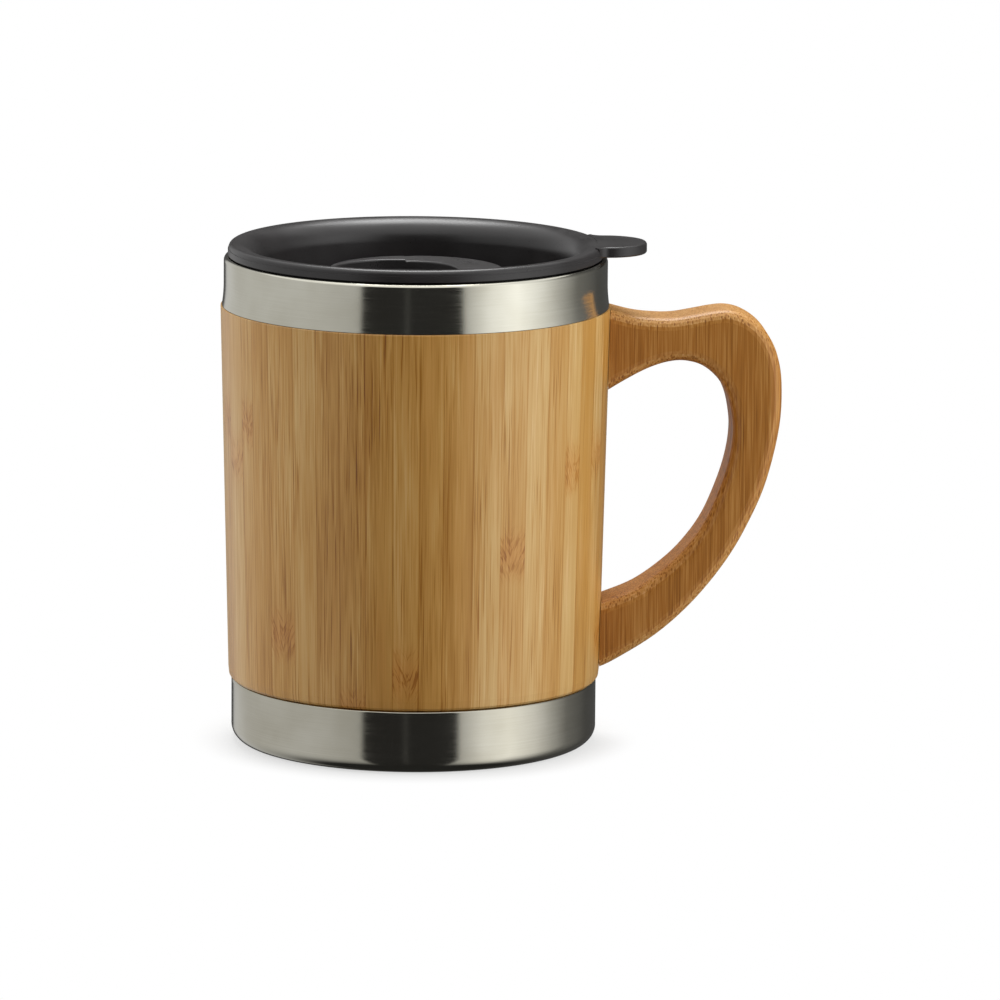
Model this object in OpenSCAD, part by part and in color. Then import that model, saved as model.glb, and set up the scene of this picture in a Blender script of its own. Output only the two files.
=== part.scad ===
// Double-wall steel cup in a bamboo sleeve, with a bamboo handle and a push-on lid.
// Millimetres, +Z up, origin at the centre of the foot, handle and thumb tab towards +X.

/* [Cup] */
// outside diameter of the steel band at the mouth
band_d = 85; // [75:0.5:100]
// height of the visible steel band above the sleeve
band_h = 10.9; // [8:0.1:16]
// extra radius of the band where it meets the sleeve
band_flare = 0.4; // [0:0.05:0.6]
// height of the flared part of the band
band_flare_h = 5; // [2:0.5:7]
// radius of the rolled mouth rim
rim_r = 1; // [0.8:0.1:1.3]
// sheet thickness of the inner cup and the outer shell
sheet_t = 0.6; // [0.5:0.1:0.8]
// air space between the inner cup and the outer shell
air_gap = 1.1; // [0.8:0.1:2]
// level width on top of the mouth rim between its two rounded edges
rim_flat_w = 0.3; // [0.1:0.05:1]
// depth of the wide mouth below the rim
mouth_depth = 7.2; // [6.5:0.1:8]
// height of the slope below the wide mouth
mouth_slope_h = 2.8; // [2:0.1:3]
// height of the drinking floor above the table
cup_floor_z = 8.5; // [7:0.5:20]
// inside corner radius of the drinking floor
cup_corner_r = 5; // [3:0.5:8]
// height of the rim of the disc that closes the shell
closing_rim_h = 3.5; // [2:0.5:5]

/* [Foot] */
// step in from the sleeve's lower end to the steel foot
foot_inset = 0.65; // [0.3:0.05:2]
// height of the steel foot
foot_h = 14.3; // [10:0.1:25]
// corner radius at the bottom of the foot
foot_corner_r = 3.4; // [2:0.1:6]
// sheet thickness of the foot
foot_t = 0.7; // [0.5:0.1:1]
// edge radius at the top of the foot
foot_top_r = 0.9; // [0.8:0.05:1.5]
// height of the stiffening bead pressed up into the bottom
bead_h = 1.7; // [1:0.1:3]
// width of the stiffening bead
bead_w = 7; // [5:0.5:10]
// width of the flat ring outside the bead
foot_ring_w = 3.5; // [3:0.5:10]

/* [Sleeve] */
// how far the sleeve's top stands out past the steel band
sleeve_proud = 0.7; // [0.5:0.05:1.2]
// how much the sleeve's radius shrinks from its top to its bottom
sleeve_taper = 1.9; // [0:0.1:4]
// height of the sleeve
sleeve_h = 83.4; // [60:0.1:110]
// wall of the sleeve
sleeve_wall = 3.4; // [2.8:0.1:3.6]
// bevel on the lower edge of the sleeve
sleeve_foot_bevel = 0.5; // [0.2:0.1:1]
// bevel on the upper edge of the sleeve
sleeve_top_bevel = 0.2; // [0.1:0.1:0.8]

/* [Handle] */
// distance from the sleeve's top out to the farthest point of the handle
handle_out = 38; // [30:0.1:50]
// height of the handle's lower end above the sleeve's lower edge
handle_lift = 2.9; // [2:0.1:12]
// depth of the handle's crest below the sleeve's upper edge
handle_drop = 0.7; // [0.4:0.1:10]
// thickness of the handle
handle_t = 14; // [10:0.5:18]
// radius on the edges of the handle
handle_edge_r = 2.6; // [1:0.1:4]
// outer edge of the handle as shares of its reach and height, from the top end round to the lower end
handle_outer_shares = [[0, 1.012], [0.097, 0.998], [0.2, 0.985], [0.309, 0.979], [0.414, 0.979],
    [0.523, 0.988], [0.62, 0.997], [0.7, 1], [0.781, 0.99], [0.865, 0.963],
    [0.929, 0.924], [0.975, 0.871], [1, 0.793], [0.991, 0.67], [0.925, 0.52],
    [0.834, 0.406], [0.711, 0.294], [0.533, 0.179], [0.329, 0.084], [0.097, 0.01], [0, -0.012]];
// inner edge of the handle in the same shares
handle_inner_shares = [[0, 0.758], [0.066, 0.779], [0.134, 0.8], [0.219, 0.824], [0.292, 0.841],
    [0.375, 0.854], [0.457, 0.858], [0.543, 0.849], [0.608, 0.829], [0.664, 0.798],
    [0.703, 0.758], [0.725, 0.71], [0.734, 0.657], [0.718, 0.589], [0.673, 0.508],
    [0.588, 0.406], [0.48, 0.328], [0.362, 0.27], [0.219, 0.219], [0.07, 0.187], [0, 0.176]];
// diameter of the wood screws that hold the handle
screw_d = 3.5; // [3:0.1:5]
// head diameter of those screws
screw_head_d = 7.2; // [6:0.1:9]
// length of those screws
screw_len = 14; // [10:0.5:20]
// depth of the cross recess in the screw heads
screw_recess = 1; // [0.5:0.1:1.5]
// depth of the upper screw below the handle's crest
screw_top_down = 8.8; // [6:0.1:12]
// height of the lower screw above the handle's lower end
screw_low_up = 8.2; // [6:0.1:12]

/* [Lid] */
// step in from the steel band to the lid's edge
lid_inset = 0.9; // [0.3:0.1:2]
// height of the lid above its seat on the mouth rim
lid_edge_h = 2.6; // [2.6:0.1:5]
// fine step in between the lid's lower band and its rounded top
lid_step_w = 0.15; // [0.1:0.05:0.4]
// height of the upright part between that step and the rounded top
lid_neck_h = 0.1; // [0.05:0.05:0.4]
// radius of the lid's outer top edge
lid_edge_r = 1.1; // [0.5:0.1:1.2]
// width of the level top of the lid's edge
lid_land_w = 0.25; // [0.1:0.05:1]
// play of the lid's plug in the cup
plug_gap = 0.7; // [0.4:0.1:1.2]
// depth of the basin below the lid's edge
basin_depth = 14.5; // [12:0.1:16]
// inward slope of the basin wall over its height
basin_draft = 0.6; // [0:0.1:1.5]
// radius between the basin wall and its floor
basin_corner_r = 1.6; // [0.8:0.1:3]
// wall thickness of the lid
lid_t = 1.8; // [1.4:0.1:2.4]
// height of the skirt that centres the lid in the mouth
skirt_h = 4; // [3:0.1:4.2]
// width of the thumb tab
tab_w = 18.6; // [18.2:0.1:26]
// reach of the thumb tab past the lid's edge
tab_out = 9.6; // [6:0.1:16]
// height of the thumb tab's top above the lid's edge
tab_rise = 0.2; // [0:0.05:0.5]
// thickness of the thumb tab
tab_t = 2.4; // [1.5:0.1:2.5]
// corner radius of the thumb tab
tab_corner_r = 8.8; // [3:0.1:9]
// edge radius of the thumb tab
tab_edge_r = 0.5; // [0.2:0.1:0.7]
// distance of the sip hole's and the vent's middle from the basin wall
sip_in = 6.8; // [5:0.1:8]
// length of the sip hole
sip_l = 13; // [8:0.5:18]
// width of the sip hole
sip_w = 6.4; // [5:0.1:8]
// diameter of the vent hole
vent_d = 2.4; // [1.5:0.1:4]
// height of the bearing boss on the basin floor
boss_h = 2.4; // [1.5:0.1:3]
// diameter of the bearing boss
boss_d = 13; // [11:0.5:16]
// height of the lip that keeps the gasket on
keeper_h = 1; // [0.8:0.1:1.2]
// reach of the gasket's lips past that lip
gasket_lip_w = 1.4; // [1:0.1:1.8]
// height of the gasket
gasket_h = 2.6; // [2:0.1:2.7]
// height of each gasket lip
gasket_lip_h = 0.5; // [0.4:0.1:0.6]

/* [Closure] */
// width of the basin floor between the dial and the basin wall
dial_space = 14.7; // [12:0.1:18]
// distance of the dial's top below the lid's edge
dial_sink = 5.8; // [4:0.1:8]
// radius of the dial's top edge
dial_edge_r = 0.7; // [0.3:0.1:1.5]
// wall thickness of the dial
dial_t = 1.6; // [1.2:0.1:2.2]
// width of the dial's rim at the narrow side of the finger dish
dish_rim_w = 1.5; // [1:0.1:4]
// sideways offset of the finger dish
dish_off = 4.3; // [0:0.1:5]
// depth of the finger dish
dish_depth = 2.6; // [1.5:0.1:4]
// radius on the rim of the finger dish
dish_rim_r = 0.4; // [0.2:0.1:0.8]
// width of the slanted facet across the dial
facet_w = 7; // [4:0.5:10]
// distance of the facet's high side from the dial's edge
facet_in = 8; // [5:0.1:12]
// how far the facet reaches past the dial's middle behind the finger dish
facet_past = 1.6; // [0:0.1:4]
// depth of the facet at its low side
facet_depth = 0.7; // [0.3:0.1:1.2]
// direction in which the facet rises
facet_turn = 31; // [0:1:90]
// diameter of the dial's stem
stem_d = 8; // [7:0.1:10]
// size of the square end of the stem
stem_square = 5.4; // [5:0.1:5.6]
// section diameter of the O-ring on the stem
o_ring_t = 1.4; // [1:0.1:1.8]
// step in from the lid's plug to the shutter disc
shutter_inset = 3.2; // [2:0.1:4]
// thickness of the shutter disc
shutter_t = 1.6; // [1.2:0.1:2.5]
// thickness of the soft seal on the shutter
seal_t = 0.8; // [0.6:0.1:1.2]
// angle from the closed to the open position
open_turn = 60; // [45:1:90]
// diameter of the screw that holds the shutter
shutter_screw_d = 3; // [2.5:0.1:4]
// head diameter of that screw
shutter_head_d = 6; // [5:0.1:7]
// head height of that screw
shutter_head_h = 1.8; // [1.2:0.1:2.5]
// length of that screw below its head
shutter_screw_len = 6.6; // [5:0.1:8]
// diameter of the washer under the screw head
washer_d = 11; // [9:0.5:14]
// thickness of the washer
washer_t = 0.8; // [0.5:0.1:1.2]

/* [Fits] */
// glue and weld gap between fixed pieces
fix_gap = 0.1; // [0.05:0.01:0.2]
// gap between pieces that come apart or slide past each other
move_gap = 0.3; // [0.2:0.05:0.5]
// radial clearance of the stem in its bearing
run_gap = 0.06; // [0.02:0.01:0.1]

/* [Hidden] */
// curved outlines are cut into this many steps for each quarter turn
arc_steps = 8;
// steps of the handle's outline between two stations
spline_steps = 5;
// steps on each rounded corner of the handle's section
corner_steps = 5;
// colours of the preview
steel = [0.75, 0.75, 0.73];
bamboo = [0.78, 0.62, 0.4];
plastic = [0.12, 0.12, 0.12];
silicone = [0.3, 0.3, 0.31];
// extra length of a cutting tool past the surface that it cuts
past = 1;
half_turn = 180;
quarter_turn = 90;

band_r = band_d / 2;
sleeve_z = foot_h + fix_gap;
sleeve_top_z = sleeve_z + sleeve_h;
rim_z = sleeve_top_z + band_h;
rim_mid_z = rim_z - rim_r;
rim_mid_r = band_r - rim_r;
sleeve_top_r = band_r + sleeve_proud;
sleeve_foot_r = sleeve_top_r - sleeve_taper;
sleeve_slope = sleeve_taper / sleeve_h;
foot_r = sleeve_foot_r - foot_inset;
shell_top_r = sleeve_top_r - sleeve_wall - fix_gap;
shell_foot_z = bead_h + foot_t + fix_gap;
mouth_r = band_r - rim_r - rim_flat_w - rim_r;
mouth_floor_z = rim_z - mouth_depth;
cup_step = sheet_t + air_gap + sheet_t;
weld_z = rim_mid_z - rim_r;

lid_seat_z = rim_z + move_gap;
lid_top_z = lid_seat_z + lid_edge_h;
lid_r = band_r - lid_inset;
lid_neck_r = lid_r - lid_step_w;
plug_r = cup_r(mouth_floor_z - mouth_slope_h) - plug_gap;
basin_top_r = plug_r - lid_t;
basin_foot_r = basin_top_r - basin_draft;
basin_floor_z = lid_top_z - basin_depth;
lid_under_z = basin_floor_z - lid_t;
bell_mid_r = lid_neck_r - lid_edge_r - lid_land_w;
bell_r = bell_mid_r - basin_top_r;
bell_mid_z = lid_top_z - bell_r;
skirt_r = mouth_r - move_gap;
skirt_z = lid_seat_z - skirt_h;
gasket_z = skirt_z - fix_gap - gasket_h;
keeper_z = gasket_z - fix_gap - keeper_h;
keeper_r = skirt_r - gasket_lip_w;
tab_tip_r = lid_r + tab_out;
tab_z = lid_top_z + tab_rise - tab_t;
sip_r = basin_foot_r - sip_in;

dial_r = basin_foot_r - dial_space;
dial_top_z = lid_top_z - dial_sink;
dial_foot_z = basin_floor_z + move_gap;
dial_ceiling_z = dial_top_z - dish_depth - dial_t;
dish_r = dial_r - dish_off - dish_rim_w;
facet_out = dial_r - facet_in;
stem_r = stem_d / 2;
seal_top_z = lid_under_z - move_gap;
shutter_top_z = seal_top_z - seal_t - fix_gap;
shutter_foot_z = shutter_top_z - shutter_t;
shutter_r = plug_r - shutter_inset;
washer_z = shutter_foot_z - fix_gap - washer_t;
shutter_head_z = washer_z - fix_gap - shutter_head_h;
o_ring_z = basin_floor_z;
o_ring_mid_r = stem_r - o_ring_t / 2;

handle_root = sleeve_foot_r - sleeve_foot_bevel * 2;
handle_reach = sleeve_top_r + handle_out - handle_root;
handle_foot_z = sleeve_z + handle_lift;
handle_h = sleeve_top_z - handle_drop - handle_foot_z;

// points of an arc, from angle a to angle b
function arc(x, y, r, a, b) = [for (i = [0:arc_steps])
    [x + r * cos(a + (b - a) * i / arc_steps), y + r * sin(a + (b - a) * i / arc_steps)]];

function unit(v) = v / norm(v);

// direction to the left of travel at point i of a path
function left(p, i) = let (
    n = len(p) - 1,
    d = unit(p[min(i + 1, n)] - p[i] == [0, 0] ? p[i] - p[i - 1] : p[min(i + 1, n)] - p[i]),
    e = unit(i == 0 ? d : p[i] - p[i - 1]),
    m = unit([-d[1] - e[1], d[0] + e[0]]),
    c = m * [-d[1], d[0]]) m / c;

// closed outline of a sheet that follows a path, with its thickness to the left
function sheet(p, t) = concat(p, [for (i = [len(p) - 1:-1:0]) p[i] + left(p, i) * t]);

// radius of the sleeve's outside at a height
function sleeve_r(z) = sleeve_foot_r + (z - sleeve_z) * sleeve_slope;

// radius of the shell's outside behind the sleeve at a height
function shell_r(z) = sleeve_r(z) - sleeve_wall - fix_gap;

// radius of the drinking space at a height
function cup_r(z) = shell_r(z) - cup_step;

// smooth curve through stations, at one place between two of them
function between(a, b, c, d, t) = 0.5 * (2 * b + (c - a) * t + (2 * a - 5 * b + 4 * c - d) * t * t
    + (3 * b - a - 3 * c + d) * t * t * t);

function curve(p) = let (n = len(p) - 1) concat(
    [for (i = [0:n - 1]) for (s = [0:spline_steps - 1])
        between(p[max(i - 1, 0)], p[i], p[i + 1], p[min(i + 2, n)], s / spline_steps)],
    [p[n]]);

// shares of the handle turned into millimetres
function handle_points(shares) = [for (s = shares)
    [handle_root + s[0] * handle_reach, handle_foot_z + s[1] * handle_h]];

module ring(r_out, r_in, h) {
    difference() {
        cylinder(r = r_out, h = h);
        translate([0, 0, -past]) cylinder(r = r_in, h = h + 2 * past);
    }
}

// cutting tool for the sip hole and the vent, turned away from the closed position
module sip_tool(turn, z, h) {
    rotate([0, 0, half_turn + turn]) translate([sip_r, 0, z]) {
        for (s = [-1, 1]) translate([0, s * (sip_l - sip_w) / 2, 0]) cylinder(d = sip_w, h = h);
        translate([-sip_w / 2, -(sip_l - sip_w) / 2, 0]) cube([sip_w, sip_l - sip_w, h]);
    }
    rotate([0, 0, turn]) translate([sip_r, 0, z]) cylinder(d = vent_d, h = h);
}

// wood screw along +X with its head face at the origin
module wood_screw(extra) {
    r = screw_d / 2 + extra;
    head_r = screw_head_d / 2 + extra;
    rotate([0, quarter_turn, 0]) rotate_extrude()
        polygon([[0, 0], [head_r, 0], [r, head_r - r], [r, screw_len - r], [0, screw_len + extra]]);
}

module screw_places() {
    for (up = [handle_h - screw_top_down, screw_low_up]) {
        z = handle_foot_z + up;
        translate([shell_r(z) + 2 * fix_gap, 0, z]) children();
    }
}

module bamboo_sleeve() {
    color(bamboo) difference() {
        rotate_extrude() polygon([
            [sleeve_foot_r - sleeve_wall, sleeve_z],
            [sleeve_foot_r - sleeve_foot_bevel, sleeve_z],
            [sleeve_foot_r - sleeve_foot_bevel / 4, sleeve_z + sleeve_foot_bevel],
            [sleeve_r(sleeve_z + sleeve_foot_bevel * 4), sleeve_z + sleeve_foot_bevel * 4],
            [sleeve_r(sleeve_top_z - sleeve_top_bevel), sleeve_top_z - sleeve_top_bevel],
            [sleeve_top_r - sleeve_top_bevel, sleeve_top_z],
            [sleeve_top_r - sleeve_wall, sleeve_top_z]]);
        screw_places() {
            wood_screw(fix_gap);
            translate([-past, 0, 0]) rotate([0, quarter_turn, 0])
                cylinder(d = screw_head_d + 2 * fix_gap, h = past);
        }
    }
}

// path of the inside surface of the cup, from the weld at the mouth down to the centre
function cup_path() = concat(
    [[mouth_r, weld_z - fix_gap], [mouth_r, mouth_floor_z],
        [cup_r(mouth_floor_z - mouth_slope_h), mouth_floor_z - mouth_slope_h]],
    arc(cup_r(cup_floor_z) - cup_corner_r, cup_floor_z + cup_corner_r, cup_corner_r, 0, -quarter_turn),
    [[0, cup_floor_z]]);

module inner_cup() {
    color(steel) rotate_extrude() polygon(sheet(cup_path(), sheet_t));
}

// path of the outside surface of the shell, from its lower end up over the rolled rim
function shell_path() = concat(
    [[shell_r(shell_foot_z), shell_foot_z],
        [shell_top_r, sleeve_top_z + fix_gap],
        [band_r + band_flare - sheet_t / 2, sleeve_top_z + fix_gap],
        [band_r + band_flare, sleeve_top_z + fix_gap + sheet_t / 2],
        [band_r + band_flare / 3, sleeve_top_z + band_flare_h / 2],
        [band_r, sleeve_top_z + band_flare_h]],
    arc(rim_mid_r, rim_mid_z, rim_r, 0, quarter_turn),
    arc(mouth_r + rim_r, rim_mid_z, rim_r, quarter_turn, half_turn),
    [[mouth_r, weld_z]]);

module outer_shell() {
    color(steel) rotate_extrude() polygon(sheet(shell_path(), sheet_t));
}

module shell_bottom() {
    r = shell_r(shell_foot_z) - sheet_t - fix_gap;
    path = concat([[0, shell_foot_z]],
        arc(r - sheet_t * 2, shell_foot_z + sheet_t * 2, sheet_t * 2, -quarter_turn, 0),
        [[r, shell_foot_z + closing_rim_h]]);
    color(steel) rotate_extrude() polygon(sheet(path, sheet_t));
}

module steel_foot() {
    ring_r = foot_r - foot_corner_r;
    bead_r = ring_r - foot_ring_w;
    path = concat(
        [[0, 0], [bead_r - bead_w, 0], [bead_r - bead_w + bead_h, bead_h], [bead_r - bead_h, bead_h],
            [bead_r, 0]],
        arc(ring_r, foot_corner_r, foot_corner_r, -quarter_turn, 0),
        arc(foot_r - foot_top_r, foot_h - foot_top_r, foot_top_r, 0, quarter_turn),
        [[shell_r(foot_h) + fix_gap, foot_h]]);
    color(steel) rotate_extrude() polygon(sheet(path, foot_t));
}

// one section of the handle between an outer and an inner point
function handle_section(o, n, g, m) = let (
    r = handle_edge_r, side = handle_t / 2 - handle_edge_r, q = quarter_turn / corner_steps) concat(
    [for (k = [0:corner_steps]) let (a = k * q, p = o - n * r * (1 - cos(quarter_turn - a)))
        [p[0], -side - r * cos(a), p[1]]],
    [for (k = [0:corner_steps]) let (a = k * q, p = o - n * r * (1 - cos(a)))
        [p[0], side + r * sin(a), p[1]]],
    [for (k = [0:corner_steps]) let (a = k * q, p = g - m * r * (1 - cos(quarter_turn - a)))
        [p[0], side + r * cos(a), p[1]]],
    [for (k = [0:corner_steps]) let (a = k * q, p = g - m * r * (1 - cos(a)))
        [p[0], -side - r * sin(a), p[1]]]);

module handle_bar() {
    outer = curve(handle_points(handle_outer_shares));
    inner = curve(handle_points(handle_inner_shares));
    n = len(outer);
    rows = [for (i = [0:n - 1])
        handle_section(outer[i], unit(left(outer, i)), inner[i], -unit(left(inner, i)))];
    w = len(rows[0]);
    polyhedron(
        points = [for (row = rows) for (p = row) p],
        faces = concat(
            [for (i = [0:n - 2]) for (j = [0:w - 1]) [i * w + j, i * w + (j + 1) % w, (i + 1) * w + j]],
            [for (i = [0:n - 2]) for (j = [0:w - 1])
                [i * w + (j + 1) % w, (i + 1) * w + (j + 1) % w, (i + 1) * w + j]],
            [[for (j = [w - 1:-1:0]) j], [for (j = [0:w - 1]) (n - 1) * w + j]]));
}

module handle() {
    low = sleeve_z - past;
    color(bamboo) difference() {
        handle_bar();
        translate([0, 0, low]) cylinder(r1 = sleeve_r(low) + fix_gap,
            r2 = sleeve_r(sleeve_top_z + past * 4) + fix_gap, h = sleeve_top_z + past * 4 - low);
        screw_places() wood_screw(fix_gap);
    }
}

module handle_screws() {
    color(steel) screw_places() difference() {
        wood_screw(0);
        for (a = [0, quarter_turn]) rotate([a, 0, 0])
            translate([-past, -screw_recess / 2, -screw_head_d / 4])
            cube([past + screw_recess, screw_recess, screw_head_d / 2]);
    }
}

// outline of the lid without its holes and tab
function lid_outline() = concat(
    [[stem_r + run_gap, lid_under_z], [plug_r - basin_draft, lid_under_z],
        [plug_r, keeper_z], [keeper_r, keeper_z], [keeper_r, keeper_z + keeper_h],
        [plug_r, keeper_z + keeper_h], [plug_r, lid_seat_z - lid_t / 2],
        [skirt_r - lid_t, lid_seat_z - lid_t / 2], [skirt_r - lid_t, skirt_z],
        [skirt_r, skirt_z], [skirt_r, lid_seat_z], [lid_r, lid_seat_z],
        [lid_r, lid_top_z - lid_edge_r - lid_neck_h], [lid_neck_r, lid_top_z - lid_edge_r - lid_neck_h]],
    arc(lid_neck_r - lid_edge_r, lid_top_z - lid_edge_r, lid_edge_r, 0, quarter_turn),
    arc(bell_mid_r, bell_mid_z, bell_r, quarter_turn, half_turn),
    arc(basin_foot_r - basin_corner_r, basin_floor_z + basin_corner_r, basin_corner_r, 0, -quarter_turn),
    [[boss_d / 2, basin_floor_z], [boss_d / 2, basin_floor_z + boss_h],
        [stem_r + run_gap, basin_floor_z + boss_h]]);

// section of a plate from x = a to x = b with a rounded edge at b
function plate(a, b, z, t, r) = concat(
    [[a, z]], arc(b - r, z + r, r, -quarter_turn, 0), arc(b - r, z + t - r, r, 0, quarter_turn),
    [[a, z + t]]);

// outline completed with its mirror image
function both_sides(p) = concat(p, [for (i = [len(p) - 2:-1:1]) [-p[i][0], p[i][1]]]);

module thumb_tab() {
    mid_x = tab_tip_r - tab_corner_r;
    mid_y = tab_w / 2 - tab_corner_r;
    difference() {
        union() {
            for (s = [-1, 1]) translate([mid_x, s * mid_y, 0])
                rotate_extrude() polygon(plate(0, tab_corner_r, tab_z, tab_t, tab_edge_r));
            translate([0, mid_y, 0]) rotate([quarter_turn, 0, 0])
                linear_extrude(height = 2 * mid_y)
                polygon(plate(mid_x - tab_corner_r, tab_tip_r, tab_z, tab_t, tab_edge_r));
            translate([mid_x, 0, 0]) rotate([quarter_turn, 0, -quarter_turn])
                linear_extrude(height = mid_x - bell_mid_r + past)
                polygon(both_sides(plate(0, tab_w / 2, tab_z, tab_t, tab_edge_r)));
        }
        translate([0, 0, tab_z - past]) cylinder(r = bell_mid_r, h = tab_t + 2 * past);
    }
}

module lid_body() {
    color(plastic) difference() {
        union() {
            rotate_extrude() polygon(lid_outline());
            thumb_tab();
        }
        sip_tool(0, lid_under_z - past, lid_t + 2 * past);
    }
}

module lid_gasket() {
    body_r = keeper_r + fix_gap;
    lip_r = skirt_r;
    top_z = gasket_z + gasket_h;
    color(silicone) rotate_extrude() polygon([
        [plug_r + fix_gap, gasket_z], [body_r, gasket_z],
        [lip_r, gasket_z + gasket_lip_h / 2], [lip_r, gasket_z + gasket_lip_h],
        [body_r, gasket_z + gasket_lip_h * 2], [body_r, top_z - gasket_lip_h * 2],
        [lip_r, top_z - gasket_lip_h], [lip_r, top_z - gasket_lip_h / 2],
        [body_r, top_z], [plug_r + fix_gap, top_z]]);
}

// outline of the finger dish as a cutting tool
function dish_outline() = concat(
    [[0, dial_top_z - dish_depth]],
    arc(dish_r - dish_depth, dial_top_z, dish_depth, -quarter_turn, -quarter_turn / 4),
    [[dish_r, dial_top_z - dish_rim_r], [dish_r + dish_rim_r, dial_top_z], [dish_r + dish_rim_r,
        dial_top_z + past], [0, dial_top_z + past]]);

module closure_dial() {
    skin_r = dish_r + dial_t;
    color(plastic) difference() {
        union() {
            rotate_extrude() polygon(concat(
                [[0, dial_ceiling_z], [dial_r - dial_t, dial_ceiling_z],
                    [dial_r - dial_t, dial_foot_z], [dial_r, dial_foot_z]],
                arc(dial_r - dial_edge_r, dial_top_z - dial_edge_r, dial_edge_r, 0, quarter_turn),
                [[0, dial_top_z]]));
            translate([0, 0, lid_under_z]) cylinder(r = stem_r, h = dial_ceiling_z + past - lid_under_z);
            translate([-stem_square / 2, -stem_square / 2, shutter_foot_z])
                cube([stem_square, stem_square, lid_under_z + past - shutter_foot_z]);
        }
        translate([-dish_off, 0, 0]) rotate_extrude() polygon(dish_outline());
        translate([0, 0, dial_ceiling_z - past]) difference() {
            cylinder(r = dial_r - dial_t, h = dish_depth + past);
            translate([-dish_off, 0, -past]) cylinder(r = skin_r, h = dish_depth + 3 * past);
        }
        intersection() {
            rotate([0, 0, facet_turn]) translate([facet_out - facet_w, dial_r + past, 0])
                rotate([quarter_turn, 0, 0]) linear_extrude(height = 2 * (dial_r + past))
                polygon([[0, dial_top_z - facet_depth], [facet_w, dial_top_z],
                    [facet_w, dial_top_z + past], [0, dial_top_z + past]]);
            translate([-facet_past, -dial_r - past, dial_top_z - facet_depth - past])
                cube([dial_r + facet_past + past, 2 * (dial_r + past), facet_depth + 2 * past]);
        }
        translate([0, 0, o_ring_z - o_ring_t / 2]) ring(stem_r + past, stem_r - o_ring_t, o_ring_t);
        translate([0, 0, shutter_foot_z - past])
            cylinder(d = shutter_screw_d + 2 * fix_gap, h = shutter_screw_len + past);
    }
}

module closure_shutter() {
    hole = stem_square + 2 * fix_gap;
    color(plastic) difference() {
        translate([0, 0, shutter_foot_z]) cylinder(r = shutter_r, h = shutter_t);
        translate([-hole / 2, -hole / 2, shutter_foot_z - past]) cube([hole, hole, shutter_t + 2 * past]);
        sip_tool(-open_turn, shutter_foot_z - past, shutter_t + 2 * past);
    }
}

module shutter_seal() {
    color(silicone) difference() {
        translate([0, 0, seal_top_z - seal_t]) ring(shutter_r, stem_r + fix_gap, seal_t);
        sip_tool(-open_turn, seal_top_z - seal_t - past, seal_t + 2 * past);
    }
}

module stem_o_ring() {
    color(silicone) translate([0, 0, o_ring_z]) rotate_extrude()
        translate([o_ring_mid_r, 0]) circle(d = o_ring_t - 2 * run_gap);
}

module shutter_screw() {
    color(steel) difference() {
        union() {
            translate([0, 0, shutter_head_z]) cylinder(d = shutter_head_d, h = shutter_head_h);
            translate([0, 0, shutter_head_z]) cylinder(d = shutter_screw_d, h = shutter_screw_len);
        }
        for (a = [0, quarter_turn]) rotate([0, 0, a])
            translate([-shutter_head_d / 3, -shutter_head_d / 16, shutter_head_z - past])
            cube([shutter_head_d * 2 / 3, shutter_head_d / 8, past + shutter_head_h / 2]);
    }
}

module shutter_washer() {
    color(steel) translate([0, 0, washer_z])
        ring(washer_d / 2, shutter_screw_d / 2 + fix_gap, washer_t);
}

bamboo_sleeve();
inner_cup();
outer_shell();
shell_bottom();
steel_foot();
handle();
handle_screws();
lid_body();
lid_gasket();
closure_dial();
closure_shutter();
shutter_seal();
stem_o_ring();
shutter_screw();
shutter_washer();
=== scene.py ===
import math

import bmesh
import bpy
from mathutils import Matrix, Vector


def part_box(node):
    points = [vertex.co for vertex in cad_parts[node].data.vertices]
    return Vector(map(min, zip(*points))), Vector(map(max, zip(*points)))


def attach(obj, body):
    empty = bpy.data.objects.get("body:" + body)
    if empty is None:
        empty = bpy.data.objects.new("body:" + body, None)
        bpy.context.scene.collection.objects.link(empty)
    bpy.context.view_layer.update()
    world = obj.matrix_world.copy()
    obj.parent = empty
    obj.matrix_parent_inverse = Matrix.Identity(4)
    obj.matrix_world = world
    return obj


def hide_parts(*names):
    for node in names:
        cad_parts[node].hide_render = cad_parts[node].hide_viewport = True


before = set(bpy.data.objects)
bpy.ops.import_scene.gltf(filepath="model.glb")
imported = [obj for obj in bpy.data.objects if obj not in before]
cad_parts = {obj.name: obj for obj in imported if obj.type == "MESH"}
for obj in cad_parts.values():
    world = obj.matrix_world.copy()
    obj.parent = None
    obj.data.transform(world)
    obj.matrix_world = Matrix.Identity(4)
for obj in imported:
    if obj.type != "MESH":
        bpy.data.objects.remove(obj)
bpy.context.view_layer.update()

MM = 0.001
# how many degrees the camera stands round from straight in front, away from the handle
CAMERA_TURN = 4


# Camera

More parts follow.
